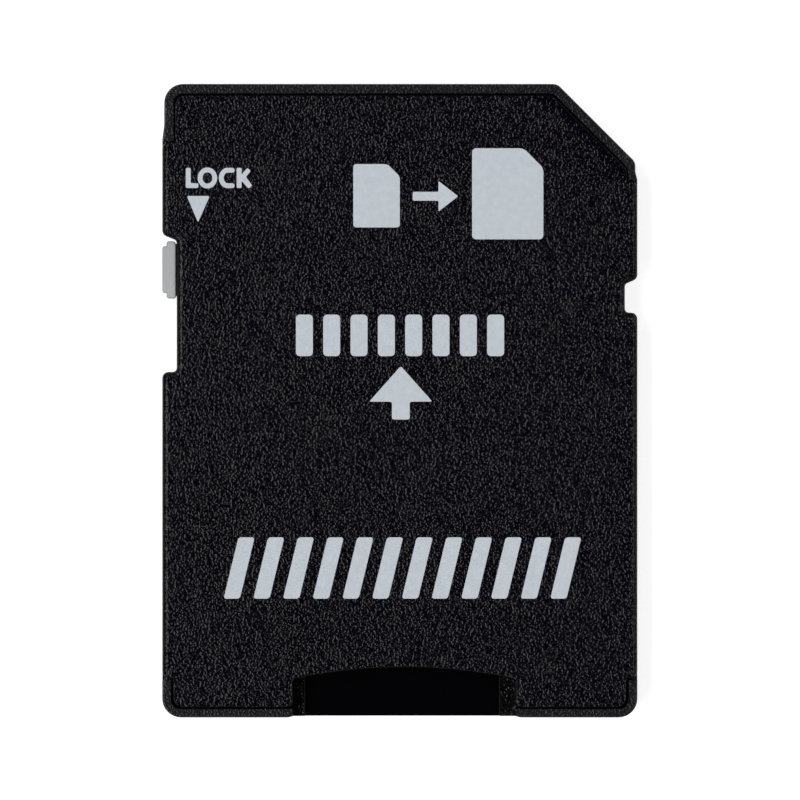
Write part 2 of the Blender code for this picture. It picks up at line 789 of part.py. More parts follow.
def tail_rows(number, across):
    """The pad's front end, formed up so that the moulding holds it."""
    front = pad_front(number)
    width = NARROW_TAIL_WIDTH if number in NARROW_PADS else TAIL_WIDTH
    if number in PADS_BEHIND_LINK:
        run = TAIL_RUN * SHORT_TAIL_RISE / TAIL_RISE
        rows = [(across, front + run, PAD_MIDDLE + SHORT_TAIL_RISE, width)]
    else:
        end = front + TAIL_RUN + TAIL_LENGTH
        rows = [(across, end, TAIL_LEVEL, width)]
        rows.append((across, end - LINK_WIDTH, TAIL_LEVEL, width))
        rows.append((across, front + TAIL_RUN, TAIL_LEVEL, width))
    return rows + [(across, front, PAD_MIDDLE, width)]


def level_rows(number, across, order):
    """The pad and its lead, which lie in one plane, as far as the finger's root."""
    front = pad_front(number)
    rear = front - PAD_LENGTH
    width = pad_width(number)
    rows = [(across, front - SHOULDER, PAD_MIDDLE, width)]
    if order is None:
        return rows + [(across, rear, PAD_MIDDLE, width)]
    finger = finger_place(order)
    return rows + [
        (across, rear + SHOULDER, PAD_MIDDLE, width),
        (across, rear - SHOULDER, PAD_MIDDLE, LEAD_WIDTH),
        (across, rear - LEAD_START, PAD_MIDDLE, LEAD_WIDTH),
        (finger, LEAD_END, PAD_MIDDLE, LEAD_WIDTH),
    ]


def strip_rows(number, across, order):
    """One stamped strip as (x, y, z, width) from front to back."""
    rows = tail_rows(number, across) + level_rows(number, across, order)
    return rows if order is None else rows + finger_rows(finger_place(order))


def strip_edges(rows, grow=0.0):
    """The left and right edge of a strip, mitred where its plan turns."""
    route = [Vector((x, y)) for x, y, _, _ in rows]
    ways = [(after - before).normalized() for before, after in zip(route, route[1:])]
    left, right = [], []
    for index, (x, y, z, width) in enumerate(rows):
        before = ways[max(index - 1, 0)]
        after = ways[min(index, len(ways) - 1)]
        middle = (before + after).normalized()
        half = (width / 2 + grow) / middle.dot(after)
        left.append((x + middle.y * half, y - middle.x * half, z))
        right.append((x - middle.y * half, y + middle.x * half, z))
    return left, right


def strip_mesh(rows):
    """The strip's middle surface, as a row of faces."""
    mesh = bmesh.new()
    left, right = strip_edges(rows)
    pairs = [(mesh.verts.new(a), mesh.verts.new(b)) for a, b in zip(left, right)]
    for ahead, behind in zip(pairs, pairs[1:]):
        mesh.faces.new((ahead[0], behind[0], behind[1], ahead[1]))
    return mesh


def make_terminals(finish):
    places = pad_places()
    for number, name, order in PADS:
        if name != "ground":
            mesh = strip_mesh(strip_rows(number, places[number], order))
            thicken(add_object(f"terminal_{name}", mesh, finish), STRIP)
    thicken(add_object("terminal_ground", ground_mesh(places), finish), STRIP)


def ground_mesh(places):
    """Two pads, and the bar that joins their tails in front of the pads between them."""
    grounds = [(number, order) for number, name, order in PADS if name == "ground"]
    strips = [strip_mesh(strip_rows(number, places[number], order)) for number, order in grounds]
    mesh = joined(strips)
    corners = []
    for number, side in ((grounds[1][0], 1), (grounds[0][0], -1)):
        edge = places[number] + side * TAIL_WIDTH / 2
        corners.append(mesh.verts.new((edge, TAIL_FRONT, TAIL_LEVEL)))
        corners.append(mesh.verts.new((edge, TAIL_FRONT - LINK_WIDTH, TAIL_LEVEL)))
    mesh.faces.new((corners[0], corners[1], corners[3], corners[2]))
    bmesh.ops.remove_doubles(mesh, verts=mesh.verts, dist=LINK_WIDTH / 100)
    bmesh.ops.recalc_face_normals(mesh, faces=mesh.faces)
    return mesh


def groove_outline(number, across, order):
    """The plan of a strip's level part, widened by the running gap."""
    rows = level_rows(number, across, order)
    if order is None:
        x, y, z, width = rows[-1]
        rows[-1] = (x, y - GROOVE_GAP, z, width)
    else:
        finger = finger_place(order)
        rows.append((finger, FINGER_ROOT - CARRIER_SIDE_GAP, PAD_MIDDLE, LEAD_WIDTH))
    x, y, z, width = rows[0]
    rows[0] = (x, y + SHOULDER / 2, z, width)
    left, right = strip_edges(rows, GROOVE_GAP)
    return [point[:2] for point in left + right[::-1]]


def pin_holes(below, above):
    """Round holes over the pads, left by the pins that hold them in the mould."""
    holes = []
    for number, across in pad_places().items():
        middle = pad_front(number) - PAD_LENGTH / 2
        circle = bmesh.new()
        bmesh.ops.create_cone(
            circle,
            cap_ends=True,
            segments=HOLE_STEPS,
            radius1=PIN_HOLE_RADIUS,
            radius2=PIN_HOLE_RADIUS,
            depth=above - below,
            matrix=Matrix.Translation((across, middle, (above + below) / 2)),
        )
        holes.append(circle)
    return joined(holes)


def tail_step():
    """Where the carrier is thin because the tails and the shelf lie under it."""
    edge = PAD_FRONT - SHOULDER
    split = corner_pad_split()
    corner_edge = edge - CUT_CORNER_SETBACK
    return [
        (-OUTSIDE, edge),
        (split, edge),
        (split, corner_edge),
        (OUTSIDE, corner_edge),
        (OUTSIDE, OUTSIDE),
        (-OUTSIDE, OUTSIDE),
    ]


def make_carrier(finish):
    below = RAIL_UNDERSIDE - CLEAR
    top = COVER_UNDERSIDE - WALL_GAP
    mesh = prism(carrier_outline(CARRIER_SIDE_GAP), RAIL_UNDERSIDE, top)
    carrier = add_object("contact_carrier", mesh, finish)
    tail_room = TAIL_LEVEL + STRIP / 2 + GROOVE_ROOF_GAP
    combine(carrier, prism(tail_step(), below, tail_room), "tail_room")
    places = pad_places()
    for number, _, order in PADS:
        outline = groove_outline(number, places[number], order)
        groove = prism(outline, below, PAD_TOP + GROOVE_ROOF_GAP)
        combine(carrier, groove, f"groove_{number}")
    combine(carrier, pin_holes(PAD_TOP, top + CLEAR), "pin_holes")
    slope = (BUMP_LEVEL - PAD_MIDDLE) / (FINGER_ROOT - BUMP)
    roof = PAD_TOP + slope * FINGER_ROOT_LENGTH + FINGER_TOP_GAP
    under = block(-OUTSIDE, OUTSIDE, -OUTSIDE, FINGER_ROOT, below, roof)
    combine(carrier, under, "finger_undercut")


def slider_outline(top, bottom):
    """The slider's visible plan: a shoulder in the notch and a shorter tab."""
    inner = LOCK_FACE - SLIDER_GAP
    outer = -HALF_WIDTH + TAB_HEIGHT
    tab_top = top - TAB_OFFSET
    tab_bottom = tab_top - TAB_LENGTH
    return rounded(
        [
            (inner, bottom, SLIDER_CORNER),
            (inner, top, NOTCH_INNER_RADIUS),
            (outer, top, SLIDER_CORNER),
            (outer, tab_top, 0),
            (-HALF_WIDTH, tab_top, SLIDER_CORNER),
            (-HALF_WIDTH, tab_bottom, SLIDER_CORNER),
            (outer, tab_bottom, 0),
            (outer, bottom, SLIDER_CORNER),
        ]
    )


def flange_outline(left, top, bottom):
    """The flange that runs in the channel, with a small rubbing nib."""
    right = left + FLANGE_WIDTH
    middle = (top + bottom) / 2
    return [
        (left, bottom),
        (right, bottom),
        (right, middle - 3 * FLANGE_NIB),
        (right + FLANGE_NIB, middle - FLANGE_NIB),
        (right + FLANGE_NIB, middle + FLANGE_NIB),
        (right, middle + 3 * FLANGE_NIB),
        (right, top),
        (left, top),
    ]


def make_slider(finish):
    low = RAIL_UNDERSIDE + SLIDER_GAP
    high = CARD_THICKNESS - SLIDER_TOP_STEP
    top = LOCK_TOP - SLIDER_GAP
    bottom = top - SLIDER_LENGTH
    mesh = prism(slider_outline(top, bottom), low, high)
    bevel_rim(mesh, high, SLIDER_EDGE, FILLET_STEPS)
    bevel_rim(mesh, low, SLIDER_FOOT_EDGE, EDGE_STEPS)
    slider = add_object("lock_slider", mesh, finish)

    flange_left = LOCK_FACE + LIP_WALL + SLIDER_GAP
    flange_low = CHANNEL_FLOOR + SLIDER_GAP
    flange_high = COVER_UNDERSIDE - SLIDER_GAP
    neck = block(
        LOCK_FACE - LIP_WALL,
        flange_left + FLANGE_WIDTH / 2,
        bottom + NECK_INSET,
        top - NECK_INSET,
        RAIL_UNDERSIDE + LIP_RISE + SLIDER_GAP,
        flange_high - SLIDER_GAP,
    )
    combine(slider, neck, "neck", "UNION")
    flange = prism(flange_outline(flange_left, top, bottom), flange_low, flange_high)
    combine(slider, flange, "flange", "UNION")

    centre = Vector((LOCK_FACE, (top + bottom) / 2, (low + high) / 2))
    slider.data.transform(Matrix.Translation(-centre))
    slider.location = centre


def make_retaining_spring(finish):
    """A leaf that stands on edge behind the bay's wall and bulges into the bay."""
    low = LEDGE + LEAF_GAP
    back = LEAF_WALL - LEAF_GAP - LEAF / 2
    crest = BAY_RIGHT - LEAF_REACH + LEAF / 2
    held_end = LEAF_MIDDLE - LEAF_HELD_LENGTH
    path = [
        (LEAF_WALL + LEAF_HOOK - LEAF_GAP, held_end),
        (back, held_end),
        (back, LEAF_MIDDLE - LEAF_BUMP),
        (crest, LEAF_MIDDLE - LEAF_CREST),
        (crest, LEAF_MIDDLE + LEAF_CREST),
        (back, LEAF_MIDDLE + LEAF_BUMP),
        (back, LEAF_MIDDLE + LEAF_FREE_LENGTH),
    ]
    mesh = bmesh.new()
    feet = [mesh.verts.new((x, y, low)) for x, y in path]
    edges = [mesh.edges.new(pair) for pair in zip(feet, feet[1:])]
    made = bmesh.ops.extrude_edge_only(mesh, edges=edges)
    heads = [item for item in made["geom"] if isinstance(item, bmesh.types.BMVert)]
    bmesh.ops.translate(mesh, verts=heads, vec=(0, 0, LEAF_HEIGHT))
    bmesh.ops.recalc_face_normals(mesh, faces=mesh.faces)
    thicken(add_object("card_retaining_spring", mesh, finish), LEAF)


def main():
    clear_scene()
    black = material("black_plastic", (0.0075, 0.0072, 0.0088), 0.55)
    make_base_shell(black)
    make_top_cover(black)
    make_carrier(material("dark_carrier_plastic", (0.012, 0.012, 0.013), 0.5))
    make_terminals(material("gold_plating", (0.85, 0.60, 0.22), 0.25, 1.0))
    make_retaining_spring(material("spring_steel", (0.60, 0.60, 0.60), 0.3, 1.0))
    make_slider(material("light_grey_plastic", (0.42, 0.425, 0.43), 0.5))


main()
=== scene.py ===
# %% [markdown]
# # A memory card adapter
#
# The adapter is a flat black sleeve that takes a small memory card in its mouth
# and passes the card's contacts on to full-size pads. The solids come from the
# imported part. This lesson gives them the finish of the real thing: moulded
# plastic with a fine spark-eroded grain, a satin lock slider, plated contacts
# and pale printed marks.

# %% Load the frame
import math

import bmesh
import bpy
from mathutils import Matrix, Vector


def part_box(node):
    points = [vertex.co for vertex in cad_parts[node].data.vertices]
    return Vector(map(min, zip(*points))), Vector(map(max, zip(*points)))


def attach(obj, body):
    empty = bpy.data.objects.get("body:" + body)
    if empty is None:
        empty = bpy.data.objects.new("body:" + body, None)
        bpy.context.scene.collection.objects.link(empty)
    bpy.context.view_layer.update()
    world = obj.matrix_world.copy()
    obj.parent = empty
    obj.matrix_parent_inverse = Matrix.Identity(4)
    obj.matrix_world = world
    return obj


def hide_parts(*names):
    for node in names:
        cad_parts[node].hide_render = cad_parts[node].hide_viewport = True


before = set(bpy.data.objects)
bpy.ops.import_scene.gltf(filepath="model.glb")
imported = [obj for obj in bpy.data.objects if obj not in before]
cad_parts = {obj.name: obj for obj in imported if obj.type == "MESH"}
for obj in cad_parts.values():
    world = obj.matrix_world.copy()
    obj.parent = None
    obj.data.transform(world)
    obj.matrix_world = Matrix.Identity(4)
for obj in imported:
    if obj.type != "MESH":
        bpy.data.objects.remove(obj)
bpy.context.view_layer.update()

MM = 0.001
print("solids:", len(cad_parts))

# %% [markdown]
# The label side is the top of the cover, and every print lies on it. Its height
# comes from the cover's own box. The other places are measured from the middle of
# the part, and MM turns millimetres into metres.

# %% Places on the part
COVER_LOW, COVER_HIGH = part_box("top_cover")
LABEL_HEIGHT = COVER_HIGH.z
print("cover from", round(COVER_LOW.z / MM, 3), "to", round(LABEL_HEIGHT / MM, 3), "mm")

# %% [markdown]
# Black mouldings get their dull look from the mould itself. Its steel is eroded by
# sparks, which leaves tiny round pits, and the plastic copies them as a relief of a
# few hundredths of a millimetre. Two noises make that relief, a fine one and a weak
# one of about twice its size. It is one node group, because the shells, the
# carrier, the slider and the ink share it with other sizes.

# %% A shader group for the moulded relief
USUAL_GRAIN = 8800.0
GRAIN_DETAIL = 0.7
COARSE_SCALE = 0.45
FINE_SHARE = 0.92
COARSE_SHARE = 0.08
PEAK_HEIGHTS = (0.42, 0.66)


def new_group(name, inputs, outputs):
    tree = bpy.data.node_groups.new(name, "ShaderNodeTree")
    for label, kind, value in inputs:
        socket = tree.interface.new_socket(label, in_out="INPUT", socket_type=kind)
        if value is not None:
            socket.default_value = value
    for label, kind in outputs:
        tree.interface.new_socket(label, in_out="OUTPUT", socket_type=kind)
    start = tree.nodes.new("NodeGroupInput")
    finish = tree.nodes.new("NodeGroupOutput")
    return tree, start, finish


def math_node(tree, operation, first, second):
    """A Math node. Each input is a socket to link or a number to set."""
    node = tree.nodes.new("ShaderNodeMath")
    node.operation = operation
    for socket, value in zip(node.inputs, (first, second)):
        if isinstance(value, (int, float)):
            socket.default_value = value
        else:
            tree.links.new(value, socket)
    return node.outputs[0]


def ramp(tree, source, places, values=(0.0, 1.0), kind="LINEAR"):
    """Goes from the first value to the second as the source goes between two places."""
    node = tree.nodes.new("ShaderNodeMapRange")
    node.interpolation_type = kind
    node.inputs["From Min"].default_value, node.inputs["From Max"].default_value = places
    node.inputs["To Min"].default_value, node.inputs["To Max"].default_value = values
    tree.links.new(source, node.inputs["Value"])
    return node.outputs["Result"]


def noise_node(tree, vector, scale, detail, roughness=0.5):
    node = tree.nodes.new("ShaderNodeTexNoise")
    node.noise_dimensions = "3D"
    node.inputs["Detail"].default_value = detail
    node.inputs["Roughness"].default_value = roughness
    tree.links.new(vector, node.inputs["Vector"])
    if isinstance(scale, (int, float)):
        node.inputs["Scale"].default_value = scale
    else:
        tree.links.new(scale, node.inputs["Scale"])
    return node.outputs["Fac"]


def make_relief_group():
    tree, start, finish = new_group(
        "moulded_relief",
        [("Vector", "NodeSocketVector", None), ("Grain Scale", "NodeSocketFloat", USUAL_GRAIN)],
        [("Height", "NodeSocketFloat"), ("Peaks", "NodeSocketFloat")],
    )
    vector = start.outputs["Vector"]
    scale = start.outputs["Grain Scale"]
    coarse_scale = math_node(tree, "MULTIPLY", scale, COARSE_SCALE)
    fine = noise_node(tree, vector, scale, GRAIN_DETAIL)
    coarse = noise_node(tree, vector, coarse_scale, 0.0)
    height = math_node(
        tree,
        "ADD",
        math_node(tree, "MULTIPLY", fine, FINE_SHARE),
        math_node(tree, "MULTIPLY", coarse, COARSE_SHARE),
    )
    tree.links.new(height, finish.inputs["Height"])
    tree.links.new(ramp(tree, height, PEAK_HEIGHTS), finish.inputs["Peaks"])
    return tree


relief_group = make_relief_group()
print("group:", relief_group.name)

# %% [markdown]
# No moulding has one even tone. Flow in the mould and handling leave soft clouds
# a few millimetres wide, too faint to notice and missed when they aren't there.

# %% A shader group for soft clouds of tone
USUAL_CLOUDS = 260.0
CLOUD_DETAIL = 3.0
CLOUD_HEIGHTS = (0.3, 0.7)


def make_cloud_group():
    tree, start, finish = new_group(
        "tone_clouds",
        [
            ("Vector", "NodeSocketVector", None),
            ("Dark", "NodeSocketColor", (0.0, 0.0, 0.0, 1.0)),
            ("Light", "NodeSocketColor", (1.0, 1.0, 1.0, 1.0)),
            ("Cloud Scale", "NodeSocketFloat", USUAL_CLOUDS),
        ],
        [("Colour", "NodeSocketColor"), ("Cloud", "NodeSocketFloat")],
    )
    vector = start.outputs["Vector"]
    cloud = noise_node(tree, vector, start.outputs["Cloud Scale"], CLOUD_DETAIL)
    spread = ramp(tree, cloud, CLOUD_HEIGHTS)
    mix = tree.nodes.new("ShaderNodeMix")
    mix.data_type = "RGBA"
    tree.links.new(spread, mix.inputs["Factor"])
    tree.links.new(start.outputs["Dark"], mix.inputs["A"])
    tree.links.new(start.outputs["Light"], mix.inputs["B"])
    tree.links.new(mix.outputs["Result"], finish.inputs["Colour"])
    tree.links.new(spread, finish.inputs["Cloud"])
    return tree


cloud_group = make_cloud_group()
print("group:", cloud_group.name)

# %% [markdown]
# A material puts the two groups together: the clouds give the colour, the relief
# gives the bump, and the relief's peaks, which rub a little smoother, change the
# roughness. Plain numbers stay on the Principled shader's own sockets.

# %% A helper for moulded plastics
WHOLE_RANGE = (0.0, 1.0)


def add_group(tree, group, **values):
    node = tree.nodes.new("ShaderNodeGroup")
    node.node_tree = group
    for label, value in values.items():
        node.inputs[label.replace("_", " ")].default_value = value
    return node


def bump_node(tree, height, depth):
    node = tree.nodes.new("ShaderNodeBump")
    node.inputs["Strength"].default_value = 1.0
    node.inputs["Distance"].default_value = depth
    tree.links.new(height, node.inputs["Height"])
    return node.outputs["Normal"]


def new_material(name):
    made = bpy.data.materials.new(name)
    made.use_nodes = True
    tree = made.node_tree
    return made, tree, tree.nodes["Principled BSDF"]


def part_places(tree):
    """The place on the part, in metres, because every piece's origin is the part's."""
    return tree.nodes.new("ShaderNodeTexCoord").outputs["Object"]


def plastic(name, dark, light, grain, depth, rough, ior=1.45):
    """A moulded plastic: grain is in grains per metre, depth in metres, rough a pair."""
    made, tree, shader = new_material(name)
    places = part_places(tree)
    clouds = add_group(tree, cloud_group, Dark=(*dark, 1), Light=(*light, 1))
    relief = add_group(tree, relief_group, Grain_Scale=grain)
    for node in (clouds, relief):
        tree.links.new(places, node.inputs["Vector"])
    tree.links.new(clouds.outputs["Colour"], shader.inputs["Base Color"])
    roughness = ramp(tree, relief.outputs["Peaks"], WHOLE_RANGE, rough[::-1])
    tree.links.new(roughness, shader.inputs["Roughness"])
    tree.links.new(bump_node(tree, relief.outputs["Height"], depth), shader.inputs["Normal"])
    shader.inputs["IOR"].default_value = ior
    return made


# %% [markdown]
# The cover has the deepest grain and looks darkest. Its grain is weaker in a narrow
# band along the cut corner, where the mould was blended by hand, and weakest on its
# walls, so that the moulding comes out of the mould. The slider is a pale satin
# plastic with a much shallower grain, and the carrier inside is plain black.

# %% The plastics
CUT_REACH = max(vert.co.x + vert.co.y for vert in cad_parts["top_cover"].data.vertices)
BLEND_BAND = (CUT_REACH - 1.10 * MM, CUT_REACH - 0.05 * MM)
BLEND_GRAIN = 0.62
WALL_LEVELS = (LABEL_HEIGHT - 0.50 * MM, LABEL_HEIGHT - 0.08 * MM)
WALL_GRAIN = 0.35
MIDDLE_HEIGHT = 0.5


def axes_of(tree, vector):
    """The X, Y and Z of a vector, as three sockets."""
    apart = tree.nodes.new("ShaderNodeSeparateXYZ")
    tree.links.new(vector, apart.inputs[0])
    return tuple(apart.outputs)


def mask_relief(tree, mask, middle):
    """Makes the relief weaker by a mask. The middle is the height that stays."""
    bump = next(node for node in tree.nodes if node.type == "BUMP")
    height = bump.inputs["Height"].links[0].from_socket
    centred = math_node(tree, "SUBTRACT", height, middle)
    tree.links.new(math_node(tree, "MULTIPLY", centred, mask), bump.inputs["Height"])


def make_cover_black():
    made = plastic(
        "cover_black",
        dark=(0.0010, 0.0006, 0.0026),
        light=(0.0014, 0.0009, 0.0034),
        grain=9350,
        depth=0.052 * MM,
        rough=(0.08, 0.12),
        ior=1.31,
    )
    tree = made.node_tree
    across, along, level = axes_of(tree, part_places(tree))
    blend = ramp(tree, math_node(tree, "ADD", across, along), BLEND_BAND, (1.0, BLEND_GRAIN))
    wall = ramp(tree, level, WALL_LEVELS, (WALL_GRAIN, 1.0))
    mask_relief(tree, math_node(tree, "MULTIPLY", blend, wall), MIDDLE_HEIGHT)
    return made


COVER_BLACK = make_cover_black()
SLIDER_GREY = plastic(
    "slider_grey",
    dark=(0.420, 0.426, 0.438),
    light=(0.460, 0.464, 0.470),
    grain=9000,
    depth=0.010 * MM,
    rough=(0.42, 0.50),
)
CARRIER_BLACK = plastic(
    "carrier_black",
    dark=(0.009, 0.009, 0.010),
    light=(0.013, 0.013, 0.014),
    grain=5200,
    depth=0.010 * MM,
    rough=(0.45, 0.55),
)
print("plastics:", COVER_BLACK.name, SLIDER_GREY.name, CARRIER_BLACK.name)

# %% [markdown]
# The base shell has two finishes in one moulding. It is eroded like the cover where
# it is seen from outside, and polished on the floor of the bay, where the small card
# slides in, and on the seat under the cover's edge. The two ledges beside the floor
# keep nearly all their grain. The whole bay, its ledges too, and the seat are also
# coloured darker, as painted shade for the shade that falls there under the cover and
# in the seam. Masks made from the place on the part mix the two.

# %% The base shell's plastic
BAY_SIDES = (-5.45 * MM, 5.90 * MM)
BAY_LEVELS = (0.28 * MM, 0.88 * MM)
POLISHED_SIDES = (-4.86 * MM, 5.11 * MM)
SEAM_SIDES = (-11.52 * MM, 11.52 * MM)
SEAM_ENDS = (-15.56 * MM, 15.50 * MM)
SEAM_LEVELS = (0.88 * MM, 1.70 * MM)
# The colour below is painted shade: the bay and the seat are coloured darker for the shade they
# lie in.
INSIDE_PAINTED_SHADE = (0.0009, 0.0009, 0.0015, 1)
INSIDE_ROUGHNESS = 0.14
LEDGE_GRAIN = 0.95


def between(tree, source, low, high):
    """1 where the value lies between low and high, else 0."""
    above = math_node(tree, "GREATER_THAN", source, low)
    below = math_node(tree, "LESS_THAN", source, high)
    return math_node(tree, "MULTIPLY", above, below)


def mix_in(tree, target, kind, mask, value):
    """Puts a plain value in place of what feeds a socket, where the mask is 1."""
    mix = tree.nodes.new("ShaderNodeMix")
    mix.data_type = kind
    tree.links.new(mask, mix.inputs["Factor"])
    tree.links.new(target.links[0].from_socket, mix.inputs["A"])
    mix.inputs["B"].default_value = value
    tree.links.new(mix.outputs["Result"], target)


def make_base_black():
    made = plastic(
        "base_black",
        dark=(0.0044, 0.0042, 0.0062),
        light=(0.0060, 0.0058, 0.0080),
        grain=9200,
        depth=0.038 * MM,
        rough=(0.22, 0.30),
        ior=1.38,
    )
    tree = made.node_tree
    shader = tree.nodes["Principled BSDF"]
    across, along, level = axes_of(tree, part_places(tree))
    low = between(tree, level, *BAY_LEVELS)
    bay = math_node(tree, "MULTIPLY", between(tree, across, *BAY_SIDES), low)
    floor = math_node(tree, "MULTIPLY", between(tree, across, *POLISHED_SIDES), low)
    seam_sides = between(tree, across, *SEAM_SIDES)
    seam_plan = math_node(tree, "MULTIPLY", seam_sides, between(tree, along, *SEAM_ENDS))
    seam = math_node(tree, "MULTIPLY", seam_plan, between(tree, level, *SEAM_LEVELS))
    # This mask brings both the polish's lower roughness and the painted shade's darker colour.
    polish_and_painted_shade = math_node(tree, "MAXIMUM", bay, seam)
    mix_in(tree, shader.inputs["Base Color"], "RGBA", polish_and_painted_shade, INSIDE_PAINTED_SHADE)
    mix_in(tree, shader.inputs["Roughness"], "FLOAT", polish_and_painted_shade, INSIDE_ROUGHNESS)
    grained = math_node(tree, "SUBTRACT", 1.0, math_node(tree, "MAXIMUM", floor, seam))
    ledges = math_node(tree, "SUBTRACT", bay, floor)
    extra = math_node(tree, "MULTIPLY", ledges, LEDGE_GRAIN - 1.0)
    mask_relief(tree, math_node(tree, "ADD", grained, extra), 0.0)
    return made


BASE_BLACK = make_base_black()
print("plastic:", BASE_BLACK.name)

# %% [markdown]
# The contacts are stamped from rolled strip and gold plated. Rolling leaves faint
# lines along the strip, which show as streaks of roughness. The spring is bare
# rolled steel with stronger lines.

# %% The metals
STRIP_CLOUDS = 420.0
LINE_SCALE = 900.0
LINE_DETAIL = 3.0
LINE_ROUGHNESS = 0.65


def strip_metal(name, dark, light, rough, stretch, depth):
    """A rolled strip: stretch squeezes the noise into lines that run along Y."""
    made, tree, shader = new_material(name)
    places = part_places(tree)
    tones = {"Dark": (*dark, 1), "Light": (*light, 1), "Cloud_Scale": STRIP_CLOUDS}
    clouds = add_group(tree, cloud_group, **tones)
    tree.links.new(places, clouds.inputs["Vector"])
    tree.links.new(clouds.outputs["Colour"], shader.inputs["Base Color"])
    squeeze = tree.nodes.new("ShaderNodeMapping")
    squeeze.inputs["Scale"].default_value = stretch
    tree.links.new(places, squeeze.inputs["Vector"])
    lines = noise_node(tree, squeeze.outputs["Vector"], LINE_SCALE, LINE_DETAIL, LINE_ROUGHNESS)
    tree.links.new(ramp(tree, lines, WHOLE_RANGE, rough), shader.inputs["Roughness"])
    tree.links.new(bump_node(tree, lines, depth), shader.inputs["Normal"])
    shader.inputs["Metallic"].default_value = 1.0
    return made


CONTACT_GOLD = strip_metal(
    "contact_gold",
    dark=(0.72, 0.46, 0.16),
    light=(0.86, 0.60, 0.24),
    rough=(0.16, 0.34),
    stretch=(22.0, 1.0, 22.0),
    depth=0.002 * MM,
)
SPRING_STEEL = strip_metal(
    "leaf_steel",
    dark=(0.50, 0.50, 0.49),
    light=(0.62, 0.62, 0.61),
    rough=(0.22, 0.44),
    stretch=(3.0, 1.0, 30.0),
    depth=0.003 * MM,
)
print("metals:", CONTACT_GOLD.name, SPRING_STEEL.name)

# %% [markdown]
# The pale marks are pad printed. The ink is thin and follows the grain underneath,
# so its surface is nearly even, with a slight ripple and a few thin spots.

# %% The printing ink
INK_DARK = (0.545, 0.590, 0.640, 1)
INK_LIGHT = (0.600, 0.648, 0.700, 1)
INK_CLOUDS = 3200.0
INK_ROUGHNESS = (0.48, 0.60)
INK_RELIEF = 0.008 * MM


def make_ink():
    made, tree, shader = new_material("pale_print")
    places = part_places(tree)
    tones = {"Dark": INK_DARK, "Light": INK_LIGHT, "Cloud_Scale": INK_CLOUDS}
    clouds = add_group(tree, cloud_group, **tones)
    relief = add_group(tree, relief_group, Grain_Scale=USUAL_GRAIN)
    for node in (clouds, relief):
        tree.links.new(places, node.inputs["Vector"])
    tree.links.new(clouds.outputs["Colour"], shader.inputs["Base Color"])
    roughness = ramp(tree, clouds.outputs["Cloud"], WHOLE_RANGE, INK_ROUGHNESS)
    tree.links.new(roughness, shader.inputs["Roughness"])
    normal = bump_node(tree, relief.outputs["Height"], INK_RELIEF)
    tree.links.new(normal, shader.inputs["Normal"])
    return made


PRINT_INK = make_ink()
print("ink:", PRINT_INK.name)

# %% [markdown]
# Solids from the part have perfectly sharp edges, and no moulding has. A copy of
# each shell and of the slider is welded, its flat faces are put together again, and
# its sharp edges get a tiny round. The copy then stands for the solid. Weighted
# normals keep the flat faces flat while the rounds look smooth.

# %% Copies with softened edges
WELD = 0.002 * MM
FLAT = math.radians(0.4)
SHARP = math.radians(35)
SHADED_SHARP = math.radians(50)


def sharp_edges(mesh, wanted=None):
    found = []
    for edge in mesh.edges:
        if len(edge.link_faces) == 2 and edge.calc_face_angle() > SHARP:
            if wanted is None or wanted(edge):
                found.append(edge)
    return found


def soften(mesh, edges, width, segments=2):
    bmesh.ops.bevel(
        mesh,
        geom=edges,
        offset=width,
        offset_type="OFFSET",
        segments=segments,
        profile=0.5,
        affect="EDGES",
        clamp_overlap=True,
        material=-1,
    )


def softened(node, name, body, finish, rounds, reshape=None):
    """A welded copy of a solid. Each round is a width and a test of the edges it takes."""
    mesh = bmesh.new()
    mesh.from_mesh(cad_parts[node].data)
    bmesh.ops.remove_doubles(mesh, verts=mesh.verts, dist=WELD)
    bmesh.ops.dissolve_limit(mesh, angle_limit=FLAT, verts=mesh.verts, edges=mesh.edges)
    before = mesh.calc_volume()
    if reshape:
        reshape(mesh)
    for width, wanted in rounds:
        soften(mesh, sharp_edges(mesh, wanted), width)
    after = mesh.calc_volume()
    loose = sum(1 for edge in mesh.edges if len(edge.link_faces) != 2)
    data = bpy.data.meshes.new(name)
    mesh.to_mesh(data)
    mesh.free()
    data.materials.clear()
    data.materials.append(finish)
    data.shade_smooth()
    data.set_sharp_from_angle(angle=SHADED_SHARP)
    piece = bpy.data.objects.new(name, data)
    bpy.context.scene.collection.objects.link(piece)
    weighted = piece.modifiers.new("even_normals", "WEIGHTED_NORMAL")
    weighted.keep_sharp = True
    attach(piece, body)
    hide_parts(node)
    share = round(100 * (after / before - 1), 2)
    print(name, len(data.polygons), "faces, volume", share, "%,", loose, "open edges")


# %% [markdown]
# The cover's fillet is wide along its long edges, where fingers touch it, and tight
# round the mouth and along the seams, where it meets the base's rims. The solid has
# one width all round. So each column of the fillet's points is followed down to its
# foot on the outline, and drawn towards that foot where the edge is tight.

# %% The tight fillet along the seams
FILLET = 0.30 * MM
TIGHT_SHARE = 0.22
CORNER = 0.32 * MM
FRONT_STEP_LEFT = 13.055 * MM
FRONT_STEP_RIGHT = 11.085 * MM
REAR_STEP = -14.00 * MM
MOUTH_SIDES = (-5.41 * MM, 5.87 * MM)
NEAR = 0.001 * MM


def foot_of(vert, feet):
    """Walks down a column of the fillet to the outline, or takes the nearest point of it."""
    while vert not in feet:
        others = [edge.other_vert(vert) for edge in vert.link_edges]
        below = [other for other in others if other.co.z < vert.co.z - NEAR]
        if not below:
            return min(feet, key=lambda foot: (foot.co - vert.co).length)
        vert = min(below, key=lambda other: (other.co - vert.co).length)
    return vert


